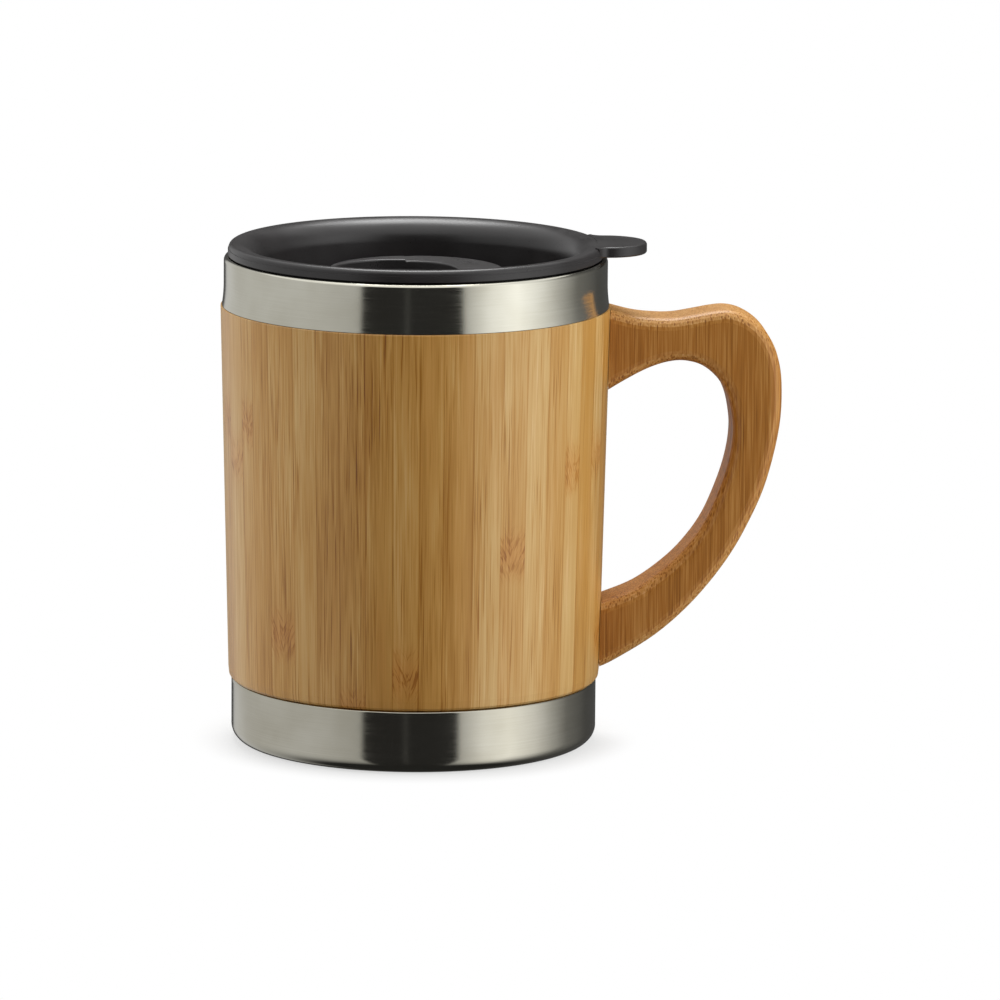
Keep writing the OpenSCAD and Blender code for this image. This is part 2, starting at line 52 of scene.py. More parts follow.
def add_camera():
    """A long lens from the front, a little above, aimed beside the cup's axis to take in the handle."""
    pitch, roll, turn = math.radians(10.37), math.radians(0.43), math.radians(-CAMERA_TURN)
    distance, side, height = 1.8, 19 * MM, 53.89 * MM
    # so many pictures side by side are a metre wide at the cup's axis
    pictures_in_metre, sensor = 4.496, 36
    look = Vector((0, math.cos(pitch), -math.sin(pitch)))
    above = Vector((0, math.sin(pitch), math.cos(pitch)))
    right = Vector((1, 0, 0))
    place = Vector((side, 0, height)) - look * distance
    tilted_right = right * math.cos(roll) + above * math.sin(roll)
    tilted_above = above * math.cos(roll) - right * math.sin(roll)
    round_cup = Matrix.Rotation(turn, 3, "Z")
    axes = [round_cup @ v for v in (tilted_right, tilted_above, -look)]
    bpy.ops.object.camera_add(location=round_cup @ place)
    camera = bpy.context.object
    camera.name = "camera"
    camera.rotation_euler = Matrix(axes).transposed().to_euler()
    camera.data.sensor_width = sensor
    camera.data.lens = pictures_in_metre * sensor * distance
    camera.data.clip_start, camera.data.clip_end = 0.1, 20
    bpy.context.scene.camera = camera


add_camera()


# Shader helpers

def paint(code):
    """A colour written as an sRGB hex value, in linear light."""
    parts = [int(code[i:i + 2], 16) / 255 for i in (0, 2, 4)]
    return tuple(p / 12.92 if p <= 0.04045 else ((p + 0.055) / 1.055) ** 2.4 for p in parts) + (1.0,)


def grey(level):
    """A grey of so much linear light, where 1 is white."""
    return level, level, level, 1.0


def add_node(tree, kind, settings=None, values=None, links=None):
    """One node with its settings, its socket values and what feeds its sockets."""
    made = tree.nodes.new(kind)
    for name, value in (settings or {}).items():
        setattr(made, name, value)
    for socket, value in (values or {}).items():
        made.inputs[socket].default_value = value
    for socket, source in (links or {}).items():
        tree.links.new(source, made.inputs[socket])
    return made


def new_finish(name):
    """An empty material and its node tree."""
    finish = bpy.data.materials.new(name)
    finish.use_nodes = True
    tree = finish.node_tree
    tree.nodes.clear()
    return finish, tree


def set_stops(ramp, stops):
    """Gives a colour ramp its stops, each a place from 0 to 1 and a colour."""
    points = ramp.color_ramp.elements
    while len(points) > 1:
        points.remove(points[-1])
    points[0].position, points[0].color = stops[0]
    for place, colour in stops[1:]:
        points.new(place).color = colour


# Light and floor

def light_studio():
    """A white room, plain white to the camera and to clear reflections, soft and level on the rest."""
    world = bpy.data.worlds.new("white_room")
    bpy.context.scene.world = world
    world.use_nodes = True
    tree = world.node_tree
    tree.nodes.clear()
    path = add_node(tree, "ShaderNodeLightPath")
    seen = add_node(tree, "ShaderNodeMath", {"operation": "MAXIMUM"},
                    links={0: path.outputs["Is Camera Ray"], 1: path.outputs["Is Glossy Ray"]})
    seen = add_node(tree, "ShaderNodeMath", {"operation": "MAXIMUM"},
                    links={0: seen.outputs[0], 1: path.outputs["Is Transmission Ray"]})
    level = add_node(tree, "ShaderNodeMapRange", values={"To Min": 0.33, "To Max": 1.0},
                     links={0: seen.outputs[0]})
    room = add_node(tree, "ShaderNodeBackground", values={"Color": paint("ffffff")},
                    links={"Strength": level.outputs[0]})
    add_node(tree, "ShaderNodeOutputWorld", links={"Surface": room.outputs[0]})


def hang_cards():
    """Upright cards round the set, grey, black and white, with a pale wall and a ceiling above them."""
    middle = 1.0
    bpy.ops.mesh.primitive_cylinder_add(vertices=96, radius=3.0, depth=8.0, location=(0, 0, middle))
    cards = bpy.context.object
    cards.name = "studio_cards"
    finish, tree = new_finish("grey_black_and_white_cards")
    place = add_node(tree, "ShaderNodeTexCoord")
    # the compass angle from the camera's side of the cup, positive to the right of the picture
    turned = add_node(tree, "ShaderNodeVectorRotate", {"rotation_type": "Z_AXIS"},
                      {"Angle": math.radians(90 + CAMERA_TURN)}, {"Vector": place.outputs["Object"]})
    flat = add_node(tree, "ShaderNodeSeparateXYZ", links={0: turned.outputs[0]})
    angle = add_node(tree, "ShaderNodeMath", {"operation": "ARCTAN2"},
                     links={0: flat.outputs["Y"], 1: flat.outputs["X"]})
    share = add_node(tree, "ShaderNodeMapRange",
                     values={"From Min": -math.pi, "From Max": math.pi}, links={0: angle.outputs[0]})
    tone = add_node(tree, "ShaderNodeValToRGB", links={0: share.outputs[0]})

    def card(degrees, level):
        return 0.5 + degrees / 360, grey(level)

    # from behind the cup round by the left: dark cloth, a grey card, a black one round the camera with
    # a thin gap in it, a white one at the right, and dark cloth again
    set_stops(tone, [card(-180, 0.055), card(-162, 0.055), card(-157, 0.4), card(-148, 0.46), card(-60, 0.45),
                     card(-32, 0.39), card(-30.8, 0.02), card(-5, 0.02), card(-3.9, 0.09), card(-3, 0.02),
                     card(28, 0.02), card(29.6, 0.42), card(46, 0.8), card(63, 1.0), card(82, 0.7),
                     card(98, 0.38), card(113, 0.15), card(140, 0.06), card(165, 0.055)])
    # the cards end 2.4 m up, and a pale wall shows over them
    above = add_node(tree, "ShaderNodeMapRange", values={"From Min": 2.3 - middle, "From Max": 2.5 - middle},
                     links={0: flat.outputs["Z"]})
    wall = add_node(tree, "ShaderNodeMix", {"data_type": "RGBA"}, {"B": grey(0.75)},
                    {"Factor": above.outputs[0], "A": tone.outputs[0]})
    # below the floor they fade from 12 degrees down, and are dark from 62 degrees down
    level_part = add_node(tree, "ShaderNodeCombineXYZ",
                          links={"X": flat.outputs["X"], "Y": flat.outputs["Y"]})
    reach = add_node(tree, "ShaderNodeVectorMath", {"operation": "LENGTH"},
                     links={0: level_part.outputs[0]})
    drop = add_node(tree, "ShaderNodeMath", {"operation": "SUBTRACT"}, {0: -middle},
                    {1: flat.outputs["Z"]})
    slope = add_node(tree, "ShaderNodeMath", {"operation": "DIVIDE"},
                     links={0: drop.outputs[0], 1: reach.outputs["Value"]})
    steep = add_node(tree, "ShaderNodeMapRange", {"interpolation_type": "SMOOTHSTEP"},
                     {"From Min": 0.22, "From Max": 1.9}, {0: slope.outputs[0]})
    cloth = add_node(tree, "ShaderNodeMix", {"data_type": "RGBA"}, {"B": grey(0.018)},
                     {"Factor": steep.outputs[0], "A": wall.outputs["Result"]})
    glow = add_node(tree, "ShaderNodeEmission", values={"Strength": 1.5},
                    links={"Color": cloth.outputs["Result"]})
    add_node(tree, "ShaderNodeOutputMaterial", links={"Surface": glow.outputs[0]})
    # the ceiling adds little light, and is bright in clear reflections only
    ceiling, tree = new_finish("white_ceiling_cloth")
    path = add_node(tree, "ShaderNodeLightPath")
    level = add_node(tree, "ShaderNodeMapRange", values={"To Min": 0.1, "To Max": 1.5},
                     links={0: path.outputs["Is Glossy Ray"]})
    glow = add_node(tree, "ShaderNodeEmission", values={"Color": paint("ffffff")},
                    links={"Strength": level.outputs[0]})
    add_node(tree, "ShaderNodeOutputMaterial", links={"Surface": glow.outputs[0]})
    for made in (finish, ceiling):
        made.cycles.emission_sampling = "NONE"
        cards.data.materials.append(made)
    for face in cards.data.polygons:
        face.material_index = 1 if face.normal.z > 0.5 else 0
    cards.visible_camera = False


def add_softbox(name, azimuth, height, distance, size, level, glossy):
    """A square softbox aimed at the middle of the cup, metres away.

    Azimuth and height are angles in degrees, azimuth from the camera to the right of the picture."""
    turn, up = math.radians(azimuth - 90 - CAMERA_TURN), math.radians(height)
    aim = Vector((math.cos(turn) * math.cos(up), math.sin(turn) * math.cos(up), math.sin(up)))
    cup_middle = Vector((0, 0, 60 * MM))
    bpy.ops.object.light_add(type="AREA", location=aim * distance + cup_middle)
    lamp = bpy.context.object
    lamp.name = name
    lamp.rotation_euler = aim.to_track_quat("Z", "Y").to_euler()
    lamp.data.shape = "SQUARE"
    lamp.data.size = size
    # the power that gives the box the stated brightness, where 1 is white
    lamp.data.energy = level * math.pi * size * size
    lamp.visible_glossy = glossy


def lay_floor():
    """Matt white card that keeps the cup's shadow and, to the camera, runs out into the white room."""
    # just inside the ring of cards
    bpy.ops.mesh.primitive_plane_add(size=5.9, location=(0, 0, 0))
    floor = bpy.context.object
    floor.name = "floor"
    finish, tree = new_finish("white_card_floor")
    place = add_node(tree, "ShaderNodeTexCoord")
    far = add_node(tree, "ShaderNodeVectorMath", {"operation": "LENGTH"}, links={0: place.outputs["Object"]})
    path = add_node(tree, "ShaderNodeLightPath")
    card = add_node(tree, "ShaderNodeBsdfDiffuse", values={"Color": paint("b4b4b4")})
    shaded = add_node(tree, "ShaderNodeBsdfDiffuse", values={"Color": paint("9c9c9c")})
    lift = add_node(tree, "ShaderNodeEmission", values={"Color": paint("ffffff"), "Strength": 0.6})
    near = add_node(tree, "ShaderNodeAddShader", links={0: shaded.outputs[0], 1: lift.outputs[0]})
    white = add_node(tree, "ShaderNodeEmission", values={"Color": paint("ffffff"), "Strength": 1.0})
    # the camera sees the floor's shadow at the foot only, and it fades out a few millimetres outside
    fade = add_node(tree, "ShaderNodeMapRange", {"interpolation_type": "SMOOTHSTEP"},
                    {"From Min": 39 * MM, "From Max": 51 * MM}, {0: far.outputs["Value"]})
    shown = add_node(tree, "ShaderNodeMixShader",
                     links={0: fade.outputs[0], 1: near.outputs[0], 2: white.outputs[0]})
    chosen = add_node(tree, "ShaderNodeMixShader",
                      links={0: path.outputs["Is Camera Ray"], 1: card.outputs[0], 2: shown.outputs[0]})
    add_node(tree, "ShaderNodeOutputMaterial", links={"Surface": chosen.outputs[0]})
    finish.cycles.emission_sampling = "NONE"
    floor.data.materials.append(finish)
    # the steel mirrors the cards all round it, down to below the floor
    floor.visible_glossy = False


light_studio()
hang_cards()
add_softbox("softbox_above", azimuth=180, height=66, distance=1.2, size=0.6, level=8.0, glossy=True)
add_softbox("softbox_right", azimuth=79, height=20, distance=1.5, size=1.2, level=2.45, glossy=False)
add_softbox("softbox_left", azimuth=-104, height=15, distance=1.5, size=1.0, level=2.0, glossy=False)
lay_floor()


# Finishes
# A pattern's scale is a count in a metre, so 1000 repeats about every millimetre.

def steel_finish(name, dull, bright):
    """Stainless steel, brushed round the cup and polished: clear reflections, faint level hairlines."""
    finish, tree = new_finish(name)
    place = add_node(tree, "ShaderNodeTexCoord")
    # hairlines 0.25 mm high and 20 mm long, drawn a little coarser than the real ones
    stretch = add_node(tree, "ShaderNodeMapping", values={"Scale": (50, 50, 4000)},
                       links={"Vector": place.outputs["Object"]})
    hair = add_node(tree, "ShaderNodeTexNoise", values={"Scale": 1.0, "Detail": 4.0, "Roughness": 0.65},
                    links={"Vector": stretch.outputs[0]})
    smear = add_node(tree, "ShaderNodeMapRange",
                     values={"From Min": 0.3, "From Max": 0.7, "To Min": 0.06, "To Max": 0.15},
                     links={0: hair.outputs["Fac"]})
    # the brush leaves slightly brighter and duller patches of about 11 mm
    cloud = add_node(tree, "ShaderNodeTexNoise", values={"Scale": 90.0, "Detail": 2.0},
                     links={"Vector": place.outputs["Object"]})
    both = add_node(tree, "ShaderNodeMath", {"operation": "MULTIPLY_ADD"}, {1: 0.5},
                    {0: hair.outputs["Fac"], 2: cloud.outputs["Fac"]})
    tone = add_node(tree, "ShaderNodeValToRGB", links={0: both.outputs[0]})
    set_stops(tone, [(0.5, paint(dull)), (1.0, paint(bright))])
    bump = add_node(tree, "ShaderNodeBump", values={"Strength": 0.06, "Distance": 0.1 * MM},
                    links={"Height": hair.outputs["Fac"]})
    round_cup = add_node(tree, "ShaderNodeTangent", {"direction_type": "RADIAL", "axis": "Z"})
    shade = add_node(tree, "ShaderNodeBsdfPrincipled", values={"Metallic": 1.0, "Anisotropic": 0.4},
                     links={"Base Color": tone.outputs[0], "Roughness": smear.outputs[0],
                            "Normal": bump.outputs[0], "Tangent": round_cup.outputs[0]})
    add_node(tree, "ShaderNodeOutputMaterial", links={"Surface": shade.outputs[0]})
    return finish


def plastic_finish():
    """Black polypropylene from a finely spark-eroded mould: satin, the grain just softens reflections."""
    finish, tree = new_finish("moulded_black_polypropylene")
    place = add_node(tree, "ShaderNodeTexCoord")
    # mould grain of about 0.3 mm, and a slight flow pattern of about 8 mm
    grain = add_node(tree, "ShaderNodeTexNoise", values={"Scale": 3300.0, "Detail": 2.0},
                     links={"Vector": place.outputs["Object"]})
    flow = add_node(tree, "ShaderNodeTexNoise", values={"Scale": 120.0, "Detail": 1.0},
                    links={"Vector": place.outputs["Object"]})
    both = add_node(tree, "ShaderNodeMath", {"operation": "MULTIPLY_ADD"}, {1: 0.6},
                    {0: grain.outputs["Fac"], 2: flow.outputs["Fac"]})
    shine = add_node(tree, "ShaderNodeMapRange",
                     values={"From Min": 0.5, "From Max": 1.1, "To Min": 0.27, "To Max": 0.36},
                     links={0: both.outputs[0]})
    tone = add_node(tree, "ShaderNodeValToRGB", links={0: both.outputs[0]})
    set_stops(tone, [(0.5, paint("262424")), (1.0, paint("2e2c2c"))])
    bump = add_node(tree, "ShaderNodeBump", values={"Strength": 0.08, "Distance": 0.04 * MM},
                    links={"Height": grain.outputs["Fac"]})
    shade = add_node(tree, "ShaderNodeBsdfPrincipled", values={"IOR": 1.49},
                     links={"Base Color": tone.outputs[0], "Roughness": shine.outputs[0],
                            "Normal": bump.outputs[0]})
    add_node(tree, "ShaderNodeOutputMaterial", links={"Surface": shade.outputs[0]})
    return finish


def silicone_finish():
    """Grey food-grade silicone: matt, slightly dusty."""
    finish, tree = new_finish("moulded_grey_silicone")
    place = add_node(tree, "ShaderNodeTexCoord")
    cloud = add_node(tree, "ShaderNodeTexNoise", values={"Scale": 400.0, "Detail": 3.0},
                     links={"Vector": place.outputs["Object"]})
    tone = add_node(tree, "ShaderNodeValToRGB", links={0: cloud.outputs["Fac"]})
    set_stops(tone, [(0.3, paint("55565a")), (0.7, paint("606166"))])
    shade = add_node(tree, "ShaderNodeBsdfPrincipled", values={"Roughness": 0.6, "IOR": 1.41},
                     links={"Base Color": tone.outputs[0]})
    add_node(tree, "ShaderNodeOutputMaterial", links={"Surface": shade.outputs[0]})
    return finish


def sleeve_finish():
    """Laminated bamboo, turned and sanded: upright strips of several tans, with fibres and knuckles."""
    finish, tree = new_finish("laminated_bamboo_strips")
    place = add_node(tree, "ShaderNodeTexCoord")
    xyz = add_node(tree, "ShaderNodeSeparateXYZ", links={0: place.outputs["Object"]})
    back_x = add_node(tree, "ShaderNodeMath", {"operation": "MULTIPLY"}, {1: -1.0}, {0: xyz.outputs["X"]})
    back_y = add_node(tree, "ShaderNodeMath", {"operation": "MULTIPLY"}, {1: -1.0}, {0: xyz.outputs["Y"]})
    angle = add_node(tree, "ShaderNodeMath", {"operation": "ARCTAN2"},
                     links={0: back_y.outputs[0], 1: back_x.outputs[0]})
    # strips about 6 mm wide round a cup of 85 mm, with the seam behind the handle
    strip_count = 44
    strips = add_node(tree, "ShaderNodeMath", {"operation": "MULTIPLY"}, {1: strip_count / math.tau},
                      {0: angle.outputs[0]})
    strip = add_node(tree, "ShaderNodeTexVoronoi", {"voronoi_dimensions": "1D"},
                     {"Scale": 1.0, "Randomness": 0.5}, {"W": strips.outputs[0]})
    glue = add_node(tree, "ShaderNodeTexVoronoi",
                    {"voronoi_dimensions": "1D", "feature": "DISTANCE_TO_EDGE"},
                    {"Scale": 1.0, "Randomness": 0.5}, {"W": strips.outputs[0]})
    chance = add_node(tree, "ShaderNodeSeparateColor", links={0: strip.outputs["Color"]})
    across = add_node(tree, "ShaderNodeMath", {"operation": "SUBTRACT"},
                      links={0: strips.outputs[0], 1: strip.outputs["W"]})

    # the fibres follow the wall, so its slight taper is taken out: every point moves to one radius
    sleeve_r = 42.5 * MM
    flat = add_node(tree, "ShaderNodeCombineXYZ",
                    links={"X": xyz.outputs["X"], "Y": xyz.outputs["Y"]})
    flat = add_node(tree, "ShaderNodeVectorMath", {"operation": "NORMALIZE"}, links={0: flat.outputs[0]})
    flat = add_node(tree, "ShaderNodeVectorMath", {"operation": "SCALE"}, {"Scale": sleeve_r},
                    {0: flat.outputs[0]})
    # each strip is cut from its own cane, so its grain is slid up against its neighbours' by up to 7 m
    slid = add_node(tree, "ShaderNodeMath", {"operation": "MULTIPLY_ADD"}, {1: 7.0},
                    {0: chance.outputs["Blue"], 2: xyz.outputs["Z"]})
    slid = add_node(tree, "ShaderNodeCombineXYZ", links={"Z": slid.outputs[0]})
    cane = add_node(tree, "ShaderNodeVectorMath", {"operation": "ADD"},
                    links={0: flat.outputs[0], 1: slid.outputs[0]})

    # fibres: lines 0.9 mm wide and 60 mm long, and others 0.35 mm wide and 20 mm long
    broad_at = add_node(tree, "ShaderNodeMapping", values={"Scale": (1100, 1100, 17)},
                        links={"Vector": cane.outputs[0]})
    broad = add_node(tree, "ShaderNodeTexNoise", values={"Scale": 1.0, "Detail": 2.0},
                     links={"Vector": broad_at.outputs[0]})
    fine_at = add_node(tree, "ShaderNodeMapping", values={"Scale": (2900, 2900, 50)},
                       links={"Vector": cane.outputs[0]})
    fine = add_node(tree, "ShaderNodeTexNoise", values={"Scale": 1.0, "Detail": 3.0, "Roughness": 0.6},
                    links={"Vector": fine_at.outputs[0]})
    # dark hairlines 0.3 mm wide and about 18 mm long, where a fibre bundle is cut by the turning
    dash_at = add_node(tree, "ShaderNodeMapping", values={"Scale": (3400, 3400, 56)},
                       links={"Vector": cane.outputs[0]})
    dash = add_node(tree, "ShaderNodeTexNoise", values={"Scale": 1.0, "Detail": 1.0},
                    links={"Vector": dash_at.outputs[0]})
    dashes = add_node(tree, "ShaderNodeMapRange", values={"From Min": 0.58, "From Max": 0.74, "To Max": -0.3},
                      links={0: dash.outputs["Fac"]})
    # soft patches of 15 by 55 mm and reddish streaks of 2 by 40 mm
    patch_at = add_node(tree, "ShaderNodeMapping", values={"Scale": (70, 70, 18)},
                        links={"Vector": cane.outputs[0]})
    patch = add_node(tree, "ShaderNodeTexNoise", values={"Scale": 1.0, "Detail": 2.0},
                     links={"Vector": patch_at.outputs[0]})
    streak_at = add_node(tree, "ShaderNodeMapping", values={"Scale": (420, 420, 24)},
                         links={"Vector": cane.outputs[0]})
    streak = add_node(tree, "ShaderNodeTexNoise", values={"Scale": 1.0, "Detail": 3.0},
                      links={"Vector": streak_at.outputs[0]})
    # faint dark glue lines 0.4 mm wide between the strips
    glue_line = add_node(tree, "ShaderNodeMapRange",
                         values={"From Max": 0.04, "To Min": -0.18, "To Max": 0.0},
                         links={0: glue.outputs["Distance"]})

    # a knuckle 16 mm high in about half of the strips, each at a height of its own
    knuckle_z = add_node(tree, "ShaderNodeMapRange", values={"To Min": -20 * MM, "To Max": 130 * MM},
                         links={0: chance.outputs["Green"]})
    away = add_node(tree, "ShaderNodeMath", {"operation": "SUBTRACT"},
                    links={0: xyz.outputs["Z"], 1: knuckle_z.outputs[0]})
    off = add_node(tree, "ShaderNodeMath", {"operation": "ABSOLUTE"}, links={0: away.outputs[0]})
    near = add_node(tree, "ShaderNodeMapRange", {"interpolation_type": "SMOOTHSTEP"},
                    {"From Min": 0.0, "From Max": 8 * MM, "To Min": 1.0, "To Max": 0.0},
                    {0: off.outputs[0]})
    has_one = add_node(tree, "ShaderNodeMath", {"operation": "GREATER_THAN"}, {1: 0.5},
                       {0: chance.outputs["Blue"]})
    knuckle = add_node(tree, "ShaderNodeMath", {"operation": "MULTIPLY"},
                       links={0: near.outputs[0], 1: has_one.outputs[0]})
    # round it the fibres lean out from the middle of the strip, by 60 strips in a metre of height,
    # and show as dashes of 0.5 by 3 mm
    side = add_node(tree, "ShaderNodeMath", {"operation": "SIGN"}, links={0: across.outputs[0]})
    lean = add_node(tree, "ShaderNodeMath", {"operation": "MULTIPLY"}, {1: -60.0}, {0: away.outputs[0]})
    lean = add_node(tree, "ShaderNodeMath", {"operation": "MULTIPLY"},
                    links={0: lean.outputs[0], 1: side.outputs[0]})
    spread = add_node(tree, "ShaderNodeMath", {"operation": "ADD"},
                      links={0: strips.outputs[0], 1: lean.outputs[0]})
    flare_at = add_node(tree, "ShaderNodeCombineXYZ",
                        links={"X": spread.outputs[0], "Y": chance.outputs["Red"], "Z": xyz.outputs["Z"]})
    flare_at = add_node(tree, "ShaderNodeMapping", values={"Scale": (11, 30, 300)},
                        links={"Vector": flare_at.outputs[0]})
    flare = add_node(tree, "ShaderNodeTexNoise", values={"Scale": 1.0, "Detail": 1.0, "Distortion": 0.9},
                     links={"Vector": flare_at.outputs[0]})
    flares = add_node(tree, "ShaderNodeMapRange", values={"From Min": 0.48, "From Max": 0.66, "To Max": -0.3},
                      links={0: flare.outputs["Fac"]})
    flares = add_node(tree, "ShaderNodeMath", {"operation": "MULTIPLY"},
                      links={0: flares.outputs[0], 1: knuckle.outputs[0]})

    # all of it together is one depth of colour, from dark at 0 to pale at 1
    depth = add_node(tree, "ShaderNodeMapRange", values={"To Min": 0.37, "To Max": 0.53},
                     links={0: chance.outputs["Red"]})
    for marks, weight in ((broad, 0.2), (patch, 0.36), (streak, 0.34)):
        middle = add_node(tree, "ShaderNodeMath", {"operation": "SUBTRACT"}, {1: 0.5},
                          {0: marks.outputs["Fac"]})
        depth = add_node(tree, "ShaderNodeMath", {"operation": "MULTIPLY_ADD"}, {1: weight},
                         {0: middle.outputs[0], 2: depth.outputs[0]})
    # the lines are strong in some places and faint in others, in patches of about 6 by 70 mm
    busy_at = add_node(tree, "ShaderNodeMapping", values={"Scale": (170, 170, 14)},
                       links={"Vector": cane.outputs[0]})
    busy = add_node(tree, "ShaderNodeTexNoise", values={"Scale": 1.0, "Detail": 1.0},
                    links={"Vector": busy_at.outputs[0]})
    busy = add_node(tree, "ShaderNodeMapRange",
                    values={"From Min": 0.35, "From Max": 0.65, "To Min": 0.35, "To Max": 1.4},
                    links={0: busy.outputs["Fac"]})
    middle = add_node(tree, "ShaderNodeMath", {"operation": "SUBTRACT"}, {1: 0.5},
                      {0: fine.outputs["Fac"]})
    lines = add_node(tree, "ShaderNodeMath", {"operation": "MULTIPLY_ADD"}, {1: 0.62},
                     {0: middle.outputs[0], 2: dashes.outputs[0]})
    depth = add_node(tree, "ShaderNodeMath", {"operation": "MULTIPLY_ADD"},
                     links={0: lines.outputs[0], 1: busy.outputs[0], 2: depth.outputs[0]})
    # painted sheen and shade: the wood is painted darkest at the front left and paler towards both sides,
    # where the light falls as a broad sheen
    off_shaded_front = add_node(tree, "ShaderNodeMath", {"operation": "ADD"}, {1: 14 * MM}, {0: xyz.outputs["X"]})
    off_shaded_front = add_node(tree, "ShaderNodeMath", {"operation": "ABSOLUTE"}, links={0: off_shaded_front.outputs[0]})
    painted_sheen_and_shade = add_node(tree, "ShaderNodeMapRange", {"interpolation_type": "SMOOTHSTEP"},
                     {"From Max": 34 * MM, "To Min": -0.03, "To Max": 0.14}, {0: off_shaded_front.outputs[0]})
    for marks in (glue_line, flares, painted_sheen_and_shade):
        depth = add_node(tree, "ShaderNodeMath", {"operation": "ADD"},
                         links={0: depth.outputs[0], 1: marks.outputs[0]})
    wood = add_node(tree, "ShaderNodeValToRGB", links={0: depth.outputs[0]})
    set_stops(wood, [(0.0, paint("7a4400")), (0.25, paint("a0680d")), (0.5, paint("c08e42")),
                     (0.75, paint("d3ae6e")), (1.0, paint("e4cda2"))])
    # reddish where a streak is strong or a knuckle is near
    red = add_node(tree, "ShaderNodeMapRange", values={"From Min": 0.56, "From Max": 0.72, "To Max": 0.22},
                   links={0: streak.outputs["Fac"]})
    red = add_node(tree, "ShaderNodeMath", {"operation": "MULTIPLY_ADD"}, {1: 0.4},
                   {0: knuckle.outputs[0], 2: red.outputs[0]})
    tinted = add_node(tree, "ShaderNodeMix", {"data_type": "RGBA", "blend_type": "MULTIPLY"},
                      {"B": paint("fad9a6")}, {"Factor": red.outputs[0], "A": wood.outputs[0]})
    # sanded and oiled: the dark lines are open and a little rougher than the pale wood round them
    shine = add_node(tree, "ShaderNodeMapRange", values={"To Min": 0.46, "To Max": 0.34},
                     links={0: depth.outputs[0]})
    bump = add_node(tree, "ShaderNodeBump", values={"Strength": 0.3, "Distance": 0.1 * MM},
                    links={"Height": depth.outputs[0]})
    shade = add_node(tree, "ShaderNodeBsdfPrincipled",
                     values={"IOR": 1.5, "Coat Weight": 0.45, "Coat Roughness": 0.32},
                     links={"Base Color": tinted.outputs["Result"], "Roughness": shine.outputs[0],
                            "Normal": bump.outputs[0]})
    add_node(tree, "ShaderNodeOutputMaterial", links={"Surface": shade.outputs[0]})
    return finish


